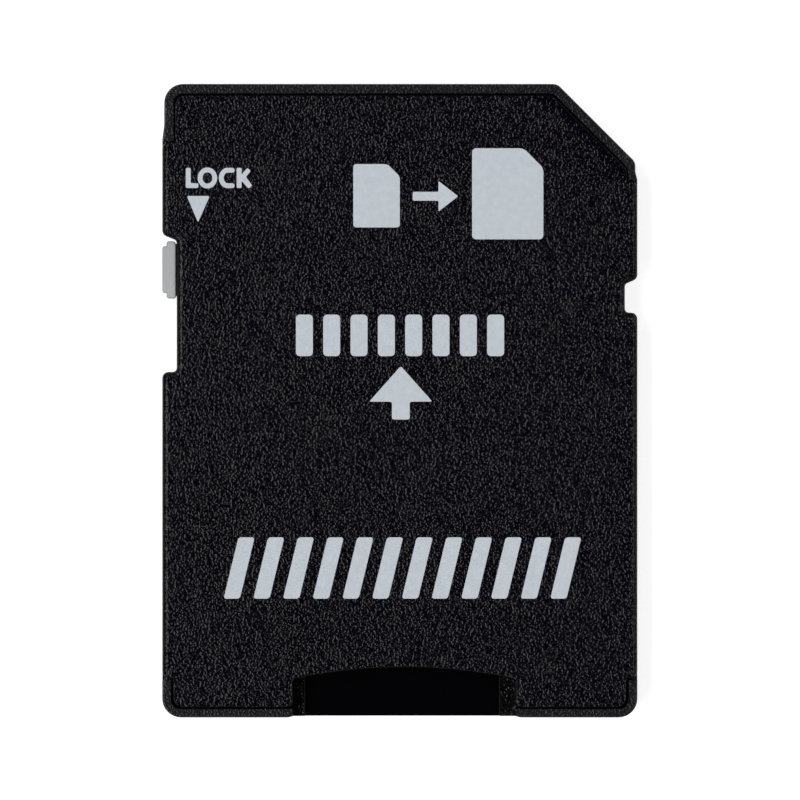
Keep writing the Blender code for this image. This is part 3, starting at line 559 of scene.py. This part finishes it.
def share_at(foot):
    """1 on a long edge, TIGHT_SHARE on a tight one, and in between round the corners."""
    side_run = (abs(foot.x) - (COVER_HIGH.x - CORNER)) / CORNER
    front_step = FRONT_STEP_RIGHT if foot.x > 0 else FRONT_STEP_LEFT
    if foot.y > front_step - CORNER:
        free = side_run
    elif MOUTH_SIDES[0] - CORNER < foot.x < MOUTH_SIDES[1] + CORNER:
        free = 0.0
    elif foot.y > REAR_STEP + CORNER:
        free = 1.0
    else:
        free = side_run
    free = min(max(free, 0.0), 1.0)
    return TIGHT_SHARE + (1 - TIGHT_SHARE) * free


def tighten_seams(mesh):
    low = LABEL_HEIGHT - FILLET
    feet = {vert for vert in mesh.verts if abs(vert.co.z - low) < NEAR}
    columns = []
    for vert in mesh.verts:
        if vert.co.z > low - NEAR:
            foot = foot_of(vert, feet).co
            columns.append((vert, foot.copy(), share_at(foot)))
    for vert, foot, share in columns:
        vert.co.x = foot.x + (vert.co.x - foot.x) * share
        vert.co.y = foot.y + (vert.co.y - foot.y) * share
        vert.co.z = LABEL_HEIGHT - (LABEL_HEIGHT - vert.co.z) * share
    print("fillet points:", len(columns))


# %% [markdown]
# The finish sets a few walls more finely than the solids do. At the front seam the
# cover's wall moves in by three hundredths of a millimetre, and at the rear seam it
# moves out by five. The seam beside the cut corner's lower end moves outwards on
# both shells, along the cut. Last, the mouth's two inner corners get a round.

# %% Small moves of the cover's walls
FRONT_WALL = 14.90 * MM
FRONT_SHIFT = -0.03 * MM
REAR_WALL = -15.03 * MM
REAR_SHIFT = -0.05 * MM
SEAT_LEVEL = 1.55 * MM
CUT_END_COVER_SIDES = (10.90 * MM, 11.44 * MM)
CUT_END_RIM_SIDES = (11.25 * MM, 11.45 * MM)
CUT_END_LOW = 10.70 * MM
CUT_END_STEP = 11.30 * MM
CUT_END_SHIFT = 0.12 * MM
MOUTH_CORNER_END = -14.05 * MM
MOUTH_CORNER_REACH = 1.5 * TIGHT_SHARE * FILLET
MOUTH_ROUND = 0.28 * MM
MOUTH_SEGMENTS = 6


def move_cut_end(mesh, sides):
    """Moves the seam beside the cut corner's lower end outwards, along the cut."""
    moved = 0
    for vert in mesh.verts:
        across, along, level = vert.co
        if sides[0] < across < sides[1] and along > CUT_END_LOW and level > SEAT_LEVEL:
            vert.co.x += CUT_END_SHIFT
            if along > CUT_END_STEP:
                vert.co.y -= CUT_END_SHIFT
            moved += 1
    print("points at the cut's end:", moved)


def mouth_corner(edge):
    """An edge that goes up at one of the two inner corners of the mouth."""
    first, second = (vert.co for vert in edge.verts)
    if abs(first.z - second.z) < NEAR:
        return False
    for side in MOUTH_SIDES:
        corner = Vector((side, MOUTH_CORNER_END))
        if max((end.xy - corner).length for end in (first, second)) < MOUTH_CORNER_REACH:
            return True
    return False


def reshape_cover(mesh):
    tighten_seams(mesh)
    for vert in mesh.verts:
        if vert.co.y > FRONT_WALL:
            vert.co.y += FRONT_SHIFT
        elif vert.co.y < REAR_WALL:
            vert.co.y += REAR_SHIFT
    move_cut_end(mesh, CUT_END_COVER_SIDES)
    corners = [edge for edge in mesh.edges if mouth_corner(edge)]
    soften(mesh, corners, MOUTH_ROUND, MOUTH_SEGMENTS)
    print("mouth corner edges:", len(corners))


# %% [markdown]
# The shells and the slider are rounded by a fortieth of a millimetre all over, which
# gives their edges the thin bright lines of a moulding. The two long edges where the
# ledges drop to the bay's floor are rounded more, and so are the upright corners
# where the base's rims end. The right ledge is moulded a little wider.

# %% The shells and the slider
SMALL_ROUND = 0.025 * MM
LEDGE_ROUND = 0.11 * MM
LEDGE_LEVEL = 0.85 * MM
LEDGE_EDGES = (4.7 * MM, 5.2 * MM)
RIGHT_LEDGE_WALL = 5.11 * MM
RIGHT_LEDGE_SHIFT = -0.07 * MM
RIM_CORNER = 0.14 * MM
RIM_CORNER_SIDES = (11.40 * MM, 11.60 * MM)
RIM_CORNER_LOW = 1.50 * MM
RIM_ENDS = (13.13 * MM, 11.16 * MM, -14.13 * MM)


def ledge_edge(edge):
    """One of the two edges along Y where a ledge drops to the floor."""
    first, second = (vert.co for vert in edge.verts)
    level = max(abs(first.z - LEDGE_LEVEL), abs(second.z - LEDGE_LEVEL)) < NEAR
    along = abs(first.x - second.x) < NEAR
    return level and along and LEDGE_EDGES[0] < abs(first.x) < LEDGE_EDGES[1]


def rim_corner(edge):
    """One of the four upright edges where a rim of the base ends at a skirt."""
    first, second = (vert.co for vert in edge.verts)
    upright = abs(first.x - second.x) < NEAR and abs(first.y - second.y) < NEAR
    at_end = min(abs(first.y - end) for end in RIM_ENDS) < NEAR
    at_side = RIM_CORNER_SIDES[0] < abs(first.x) < RIM_CORNER_SIDES[1]
    return upright and at_end and at_side and min(first.z, second.z) > RIM_CORNER_LOW


def reshape_base(mesh):
    wall = [vert for vert in mesh.verts if abs(vert.co.x - RIGHT_LEDGE_WALL) < NEAR]
    for vert in wall:
        vert.co.x += RIGHT_LEDGE_SHIFT
    print("ledge wall points:", len(wall))
    move_cut_end(mesh, CUT_END_RIM_SIDES)


softened(
    "top_cover",
    "cover_moulding",
    "shell",
    COVER_BLACK,
    [(SMALL_ROUND, None)],
    reshape_cover,
)
softened(
    "base_shell",
    "base_moulding",
    "shell",
    BASE_BLACK,
    [(RIM_CORNER, rim_corner), (LEDGE_ROUND, ledge_edge), (SMALL_ROUND, None)],
    reshape_base,
)
softened(
    "lock_slider",
    "slider_moulding",
    "slider",
    SLIDER_GREY,
    [(SMALL_ROUND, None)],
)

# %% [markdown]
# The terminals, the spring and the carrier keep their solids. They only need
# their finish, which goes into the material slots that they already have.

# %% Finishes on the solids that stay
def finish_node(node, finish):
    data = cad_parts[node].data
    data.materials.clear()
    data.materials.append(finish)


terminals = sorted(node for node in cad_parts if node.startswith("terminal_"))
for node in terminals:
    finish_node(node, CONTACT_GOLD)
finish_node("card_retaining_spring", SPRING_STEEL)
finish_node("contact_carrier", CARRIER_BLACK)
print("terminals:", len(terminals))

# %% [markdown]
# A print is a flat shape with next to no thickness. Each mark is drawn as a
# polygon, its corners are rounded by a vertex bevel, and it is pulled down into a
# thin solid that sits just in the label side. Marks are given in millimetres.

# %% Helpers for printed marks
INK_TOP = LABEL_HEIGHT + 0.004 * MM
INK_THICKNESS = 0.010 * MM
CORNER_SEGMENTS = 4


def round_corners(mesh, radius):
    bmesh.ops.bevel(
        mesh,
        geom=list(mesh.verts),
        offset=radius,
        offset_type="OFFSET",
        segments=CORNER_SEGMENTS,
        profile=0.5,
        affect="VERTICES",
        clamp_overlap=True,
        material=-1,
    )


def add_shape(mesh, corners, radius=0.0):
    """Adds one flat shape, given by its corners in millimetres, as a thin solid."""
    shape = bmesh.new()
    shape.faces.new([shape.verts.new((x * MM, y * MM, INK_TOP)) for x, y in corners])
    if radius:
        round_corners(shape, radius * MM)
    bmesh.ops.recalc_face_normals(shape, faces=shape.faces)
    made = bmesh.ops.extrude_face_region(shape, geom=list(shape.faces))
    moved = [item for item in made["geom"] if isinstance(item, bmesh.types.BMVert)]
    bmesh.ops.translate(shape, verts=moved, vec=(0, 0, -INK_THICKNESS))
    bmesh.ops.recalc_face_normals(shape, faces=shape.faces)
    data = bpy.data.meshes.new("shape")
    shape.to_mesh(data)
    shape.free()
    mesh.from_mesh(data)
    bpy.data.meshes.remove(data)


def add_print(name, mesh):
    data = bpy.data.meshes.new(name)
    mesh.to_mesh(data)
    mesh.free()
    data.materials.append(PRINT_INK)
    piece = bpy.data.objects.new(name, data)
    bpy.context.scene.collection.objects.link(piece)
    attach(piece, "shell")
    print(name, len(data.polygons), "faces")


def bar_corners(left, width, low, high, lean=0.0):
    """The corners of an upright bar. Lean moves its upper end sideways."""
    right = left + width
    return [(left, low), (right, low), (right + lean, high), (left + lean, high)]


# %% [markdown]
# The lock mark tells which way the slider locks. The two letters with curves are
# lines of ink with one width, as a pen plotter would draw them: a closed oval, and
# an open hook with round ends. These helpers turn such a line into an outline.

# %% Helpers for lines of ink
CAP_STEPS = 6
RING_STEPS = 14
RING_PARTS = 2
MITRE_LIMIT = 0.5


def arc_points(centre, radii, start, end, steps):
    """Points on an ellipse from one angle to another, in degrees."""
    points = []
    for step in range(steps + 1):
        angle = math.radians(start + (end - start) * step / steps)
        across = centre[0] + radii[0] * math.cos(angle)
        along = centre[1] + radii[1] * math.sin(angle)
        points.append((across, along))
    return points


def side_points(points, width):
    """The points half a width to the left of a line, mitred where it turns."""
    side = []
    for number, point in enumerate(points):
        before = Vector(points[max(number - 1, 0)])
        after = Vector(points[min(number + 1, len(points) - 1)])
        here = Vector(point)
        steps = [step.normalized() for step in (here - before, after - here) if step.length > 0]
        along = sum(steps, Vector((0, 0))).normalized()
        reach = width / 2 / max(along.dot(steps[0]), MITRE_LIMIT)
        side.append(tuple(here + Vector((-along.y, along.x)) * reach))
    return side


def add_line(mesh, points, width):
    """Adds an open line of ink with round ends."""
    outline = []
    for way in (points, points[::-1]):
        last = Vector(way[-1])
        step = last - Vector(way[-2])
        heading = math.degrees(math.atan2(step.y, step.x))
        cap = arc_points(last, (width / 2, width / 2), heading + 90, heading - 90, CAP_STEPS)
        outline += side_points(way, width) + cap[1:-1]
    add_shape(mesh, outline)


def add_ring(mesh, centre, radii, width):
    """Adds a closed oval line of ink, as a few arcs that meet."""
    outer = [radius + width / 2 for radius in radii]
    inner = [radius - width / 2 for radius in radii]
    turn = 360 / RING_PARTS
    for part in range(RING_PARTS):
        start = part * turn
        out = arc_points(centre, outer, start, start + turn, RING_STEPS)
        back = arc_points(centre, inner, start + turn, start, RING_STEPS)
        add_shape(mesh, out + back)


# %% [markdown]
# The two letters with straight strokes are outlines of their own. Separate strokes
# would overlap in one plane, and show dark there. Their corners are rounded a little.

# %% The lock word and its arrow
PEN = 0.245
LETTER_LOW = 10.860
LETTER_HIGH = 11.640
LETTER_MIDDLE = (LETTER_LOW + LETTER_HIGH) / 2
LETTER_ROUND = 0.07
LETTER_L = (
    (-10.81, 10.74),
    (-10.17, 10.74),
    (-10.17, 10.98),
    (-10.56, 10.98),
    (-10.56, 11.76),
    (-10.81, 11.76),
)
OVAL_CENTRE = (-9.716, LETTER_MIDDLE)
OVAL_RADII = (0.372, 0.408)
HOOK_CENTRE = (-8.70, LETTER_MIDDLE)
HOOK_RADII = (0.315, (LETTER_HIGH - LETTER_LOW) / 2)
HOOK_END = -8.46
HOOK_STEPS = 16
LETTER_K = (
    (-8.24, 10.74),
    (-7.99, 10.74),
    (-7.99, 11.10),
    (-7.64, 10.71),
    (-7.45, 10.86),
    (-7.77, 11.30),
    (-7.52, 11.61),
    (-7.70, 11.76),
    (-7.99, 11.42),
    (-7.99, 11.76),
    (-8.24, 11.76),
)
LOCK_ARROW = ((-10.76, 10.34), (-9.60, 10.34), (-10.19, 9.00))
LOCK_ARROW_ROUND = 0.09

lock_word = bmesh.new()
add_shape(lock_word, LETTER_L, LETTER_ROUND)
add_ring(lock_word, OVAL_CENTRE, OVAL_RADII, PEN)
hook = arc_points(HOOK_CENTRE, HOOK_RADII, 90, 270, HOOK_STEPS)
add_line(lock_word, [(HOOK_END, LETTER_HIGH)] + hook + [(HOOK_END, LETTER_LOW)], PEN)
add_shape(lock_word, LETTER_K, LETTER_ROUND)
add_print("lock_word", lock_word)

arrow = bmesh.new()
add_shape(arrow, LOCK_ARROW, LOCK_ARROW_ROUND)
add_print("lock_arrow", arrow)

# %% [markdown]
# The marks in the middle are this lesson's own and stand for nothing but use: a
# small card goes into a large one, and a comb of contacts with an arrow under it
# stands for the end that goes in first.

# %% The card pictogram
def card_corners(left, low, width, height, cut):
    """A card's outline with its upper right corner cut off."""
    right = left + width
    high = low + height
    return [(left, low), (right, low), (right, high - cut), (right - cut, high), (left, high)]


def arrow_corners(tail, tip, middle, stem, head, head_length):
    """An arrow along X, from its tail to its tip. Stem and head are its two widths."""
    neck = tip - head_length
    upper = [(tail, stem / 2), (neck, stem / 2), (neck, head / 2)]
    lower = [(x, -y) for x, y in reversed(upper)]
    return [(x, middle + y) for x, y in upper + [(tip, 0.0)] + lower]


small_card = card_corners(left=-2.35, low=8.75, width=2.35, height=3.2, cut=0.62)
large_card = card_corners(left=3.65, low=8.15, width=3.6, height=4.6, cut=1.0)
into = arrow_corners(tail=0.65, tip=2.95, middle=10.325, stem=0.45, head=1.55, head_length=1.0)
pictogram = bmesh.new()
add_shape(pictogram, small_card, radius=0.16)
add_shape(pictogram, into, radius=0.07)
add_shape(pictogram, large_card, radius=0.2)
add_print("card_pictogram", pictogram)

# %% The insertion mark
COMB_TEETH = 8
COMB_LEFT = -5.25
COMB_PITCH = 1.38
COMB_TOOTH = 0.86
COMB_LEVELS = (2.25, 4.35)

comb = bmesh.new()
for tooth in range(COMB_TEETH):
    tooth_left = COMB_LEFT + tooth * COMB_PITCH
    add_shape(comb, bar_corners(tooth_left, COMB_TOOTH, *COMB_LEVELS), radius=0.2)
sideways = arrow_corners(tail=-0.95, tip=1.75, middle=-0.05, stem=0.9, head=3.2, head_length=1.8)
add_shape(comb, [(-y, x) for x, y in sideways], radius=0.1)
add_print("insertion_mark", comb)

# %% [markdown]
# The row of slanted bars gives the thumb's place when the adapter is pushed in. It
# fills the width of the lower label side.

# %% The row of slanted bars
BAR_COUNT = 12
BAR_LEFT = -8.9
BAR_PITCH = 1.5
BAR_WIDTH = 0.82
BAR_LEVELS = (-10.0, -6.9)
BAR_LEAN = 0.75

bars = bmesh.new()
for bar in range(BAR_COUNT):
    bar_left = BAR_LEFT + bar * BAR_PITCH
    add_shape(bars, bar_corners(bar_left, BAR_WIDTH, *BAR_LEVELS, BAR_LEAN), radius=0.14)
add_print("slanted_bars", bars)

# %% [markdown]
# The floor is a plain pale sheet. It is grey enough to hold the soft shadow, and
# camera rays see it lifted to white. The shadow stays, because the lift is added to
# the lit sheet and does not take its place.

# %% The floor
FLOOR_SIZE = 2.0
FLOOR_GREY = 0.62
FLOOR_ROUGHNESS = 0.9
FLOOR_LIFT = 0.74


def see_white(tree, amount):
    """The amount for rays from the camera and through clear things, 0 for the others."""
    path = tree.nodes.new("ShaderNodeLightPath")
    camera_ray = path.outputs["Is Camera Ray"]
    clear_ray = path.outputs["Is Transmission Ray"]
    return math_node(tree, "MULTIPLY", math_node(tree, "MAXIMUM", camera_ray, clear_ray), amount)


def make_floor():
    mesh = bmesh.new()
    bmesh.ops.create_grid(mesh, x_segments=1, y_segments=1, size=FLOOR_SIZE)
    data = bpy.data.meshes.new("floor")
    mesh.to_mesh(data)
    mesh.free()
    floor = bpy.data.objects.new("floor", data)
    bpy.context.scene.collection.objects.link(floor)
    made, tree, shader = new_material("floor_sheet")
    shader.inputs["Base Color"].default_value = (FLOOR_GREY, FLOOR_GREY, FLOOR_GREY, 1)
    shader.inputs["Roughness"].default_value = FLOOR_ROUGHNESS
    shader.inputs["Specular IOR Level"].default_value = 0.0
    shader.inputs["Emission Color"].default_value = (1, 1, 1, 1)
    tree.links.new(see_white(tree, FLOOR_LIFT), shader.inputs["Emission Strength"])
    data.materials.append(made)
    print("floor at", floor.location.z)


make_floor()

# %% [markdown]
# The studio is dark overhead, round the camera, and brighter at the horizon. The
# smooth bay then stays black, as it mirrors the dark ceiling, and metal still has
# something paler to mirror. That is why see_white leaves glossy rays as they are.

# %% The surroundings
HORIZON_LIGHT = 0.13
CEILING_LIGHT = 0.008
CEILING_START = 0.75


def make_world():
    world = bpy.data.worlds.new("studio")
    bpy.context.scene.world = world
    world.use_nodes = True
    tree = world.node_tree
    background = tree.nodes["Background"]
    coordinates = tree.nodes.new("ShaderNodeTexCoord")
    upward = axes_of(tree, coordinates.outputs["Generated"])[2]
    height = math_node(tree, "ABSOLUTE", upward, 0.0)
    lights = (HORIZON_LIGHT, CEILING_LIGHT)
    fade = ramp(tree, height, (0.0, CEILING_START), lights, "SMOOTHSTEP")
    strength = math_node(tree, "MAXIMUM", fade, see_white(tree, 1.0))
    background.inputs["Color"].default_value = (1, 1, 1, 1)
    tree.links.new(strength, background.inputs["Strength"])
    print("surroundings:", world.name)


make_world()

# %% [markdown]
# Soft boxes stand round the part. The one on the left is the strongest, and its
# reflection draws the bright line along the cover's left edge. Together they light
# the label side so that a colour comes out about as it is written.

# %% Soft boxes
LIGHT_DISTANCE = 1.00


def softbox(name, azimuth, tilt, width, length, share):
    """A lamp, tilt degrees off the vertical. A share of 1 lights a white sheet to white."""
    turn = math.radians(azimuth)
    lean = math.radians(tilt)
    outward = Vector((math.cos(turn), math.sin(turn), 0))
    direction = outward * math.sin(lean) + Vector((0, 0, math.cos(lean)))
    data = bpy.data.lights.new(name, "AREA")
    data.shape = "RECTANGLE"
    data.size = length
    data.size_y = width
    data.energy = share * math.pi**2 * LIGHT_DISTANCE**2 / math.cos(lean)
    lamp = bpy.data.objects.new(name, data)
    bpy.context.scene.collection.objects.link(lamp)
    side = Vector((-math.sin(turn), math.cos(turn), 0))
    up = direction.cross(side)
    place = Matrix((side, up, direction)).transposed().to_4x4()
    place.translation = direction * LIGHT_DISTANCE
    lamp.matrix_world = place
    print(name, round(data.energy, 2), "W")


softbox("left_box", azimuth=180, tilt=30, width=0.38, length=1.40, share=0.71)
softbox("right_box", azimuth=0, tilt=44, width=0.40, length=1.40, share=0.28)
softbox("rear_box", azimuth=-90, tilt=45, width=1.00, length=1.40, share=0.08)
softbox("front_box", azimuth=90, tilt=45, width=1.00, length=1.40, share=0.06)

# %% [markdown]
# The photograph looks straight down on the label side from far off. A long lens
# keeps the edges upright. The distance follows from the width of the view.

# %% The camera
VIEW_WIDTH = 40.404 * MM
LENS = 900.0
SENSOR = 36.0
AIM = Vector((0.010 * MM, 0.035 * MM, LABEL_HEIGHT))


def make_camera():
    data = bpy.data.cameras.new("camera")
    data.lens = LENS
    data.sensor_width = SENSOR
    data.clip_start = 0.005
    data.clip_end = 10.0
    camera = bpy.data.objects.new("camera", data)
    bpy.context.scene.collection.objects.link(camera)
    camera.location = AIM + Vector((0, 0, VIEW_WIDTH * LENS / SENSOR))
    bpy.context.scene.camera = camera
    print("camera at", [round(value, 4) for value in camera.location])


make_camera()
bpy.context.scene.view_settings.view_transform = "Standard"
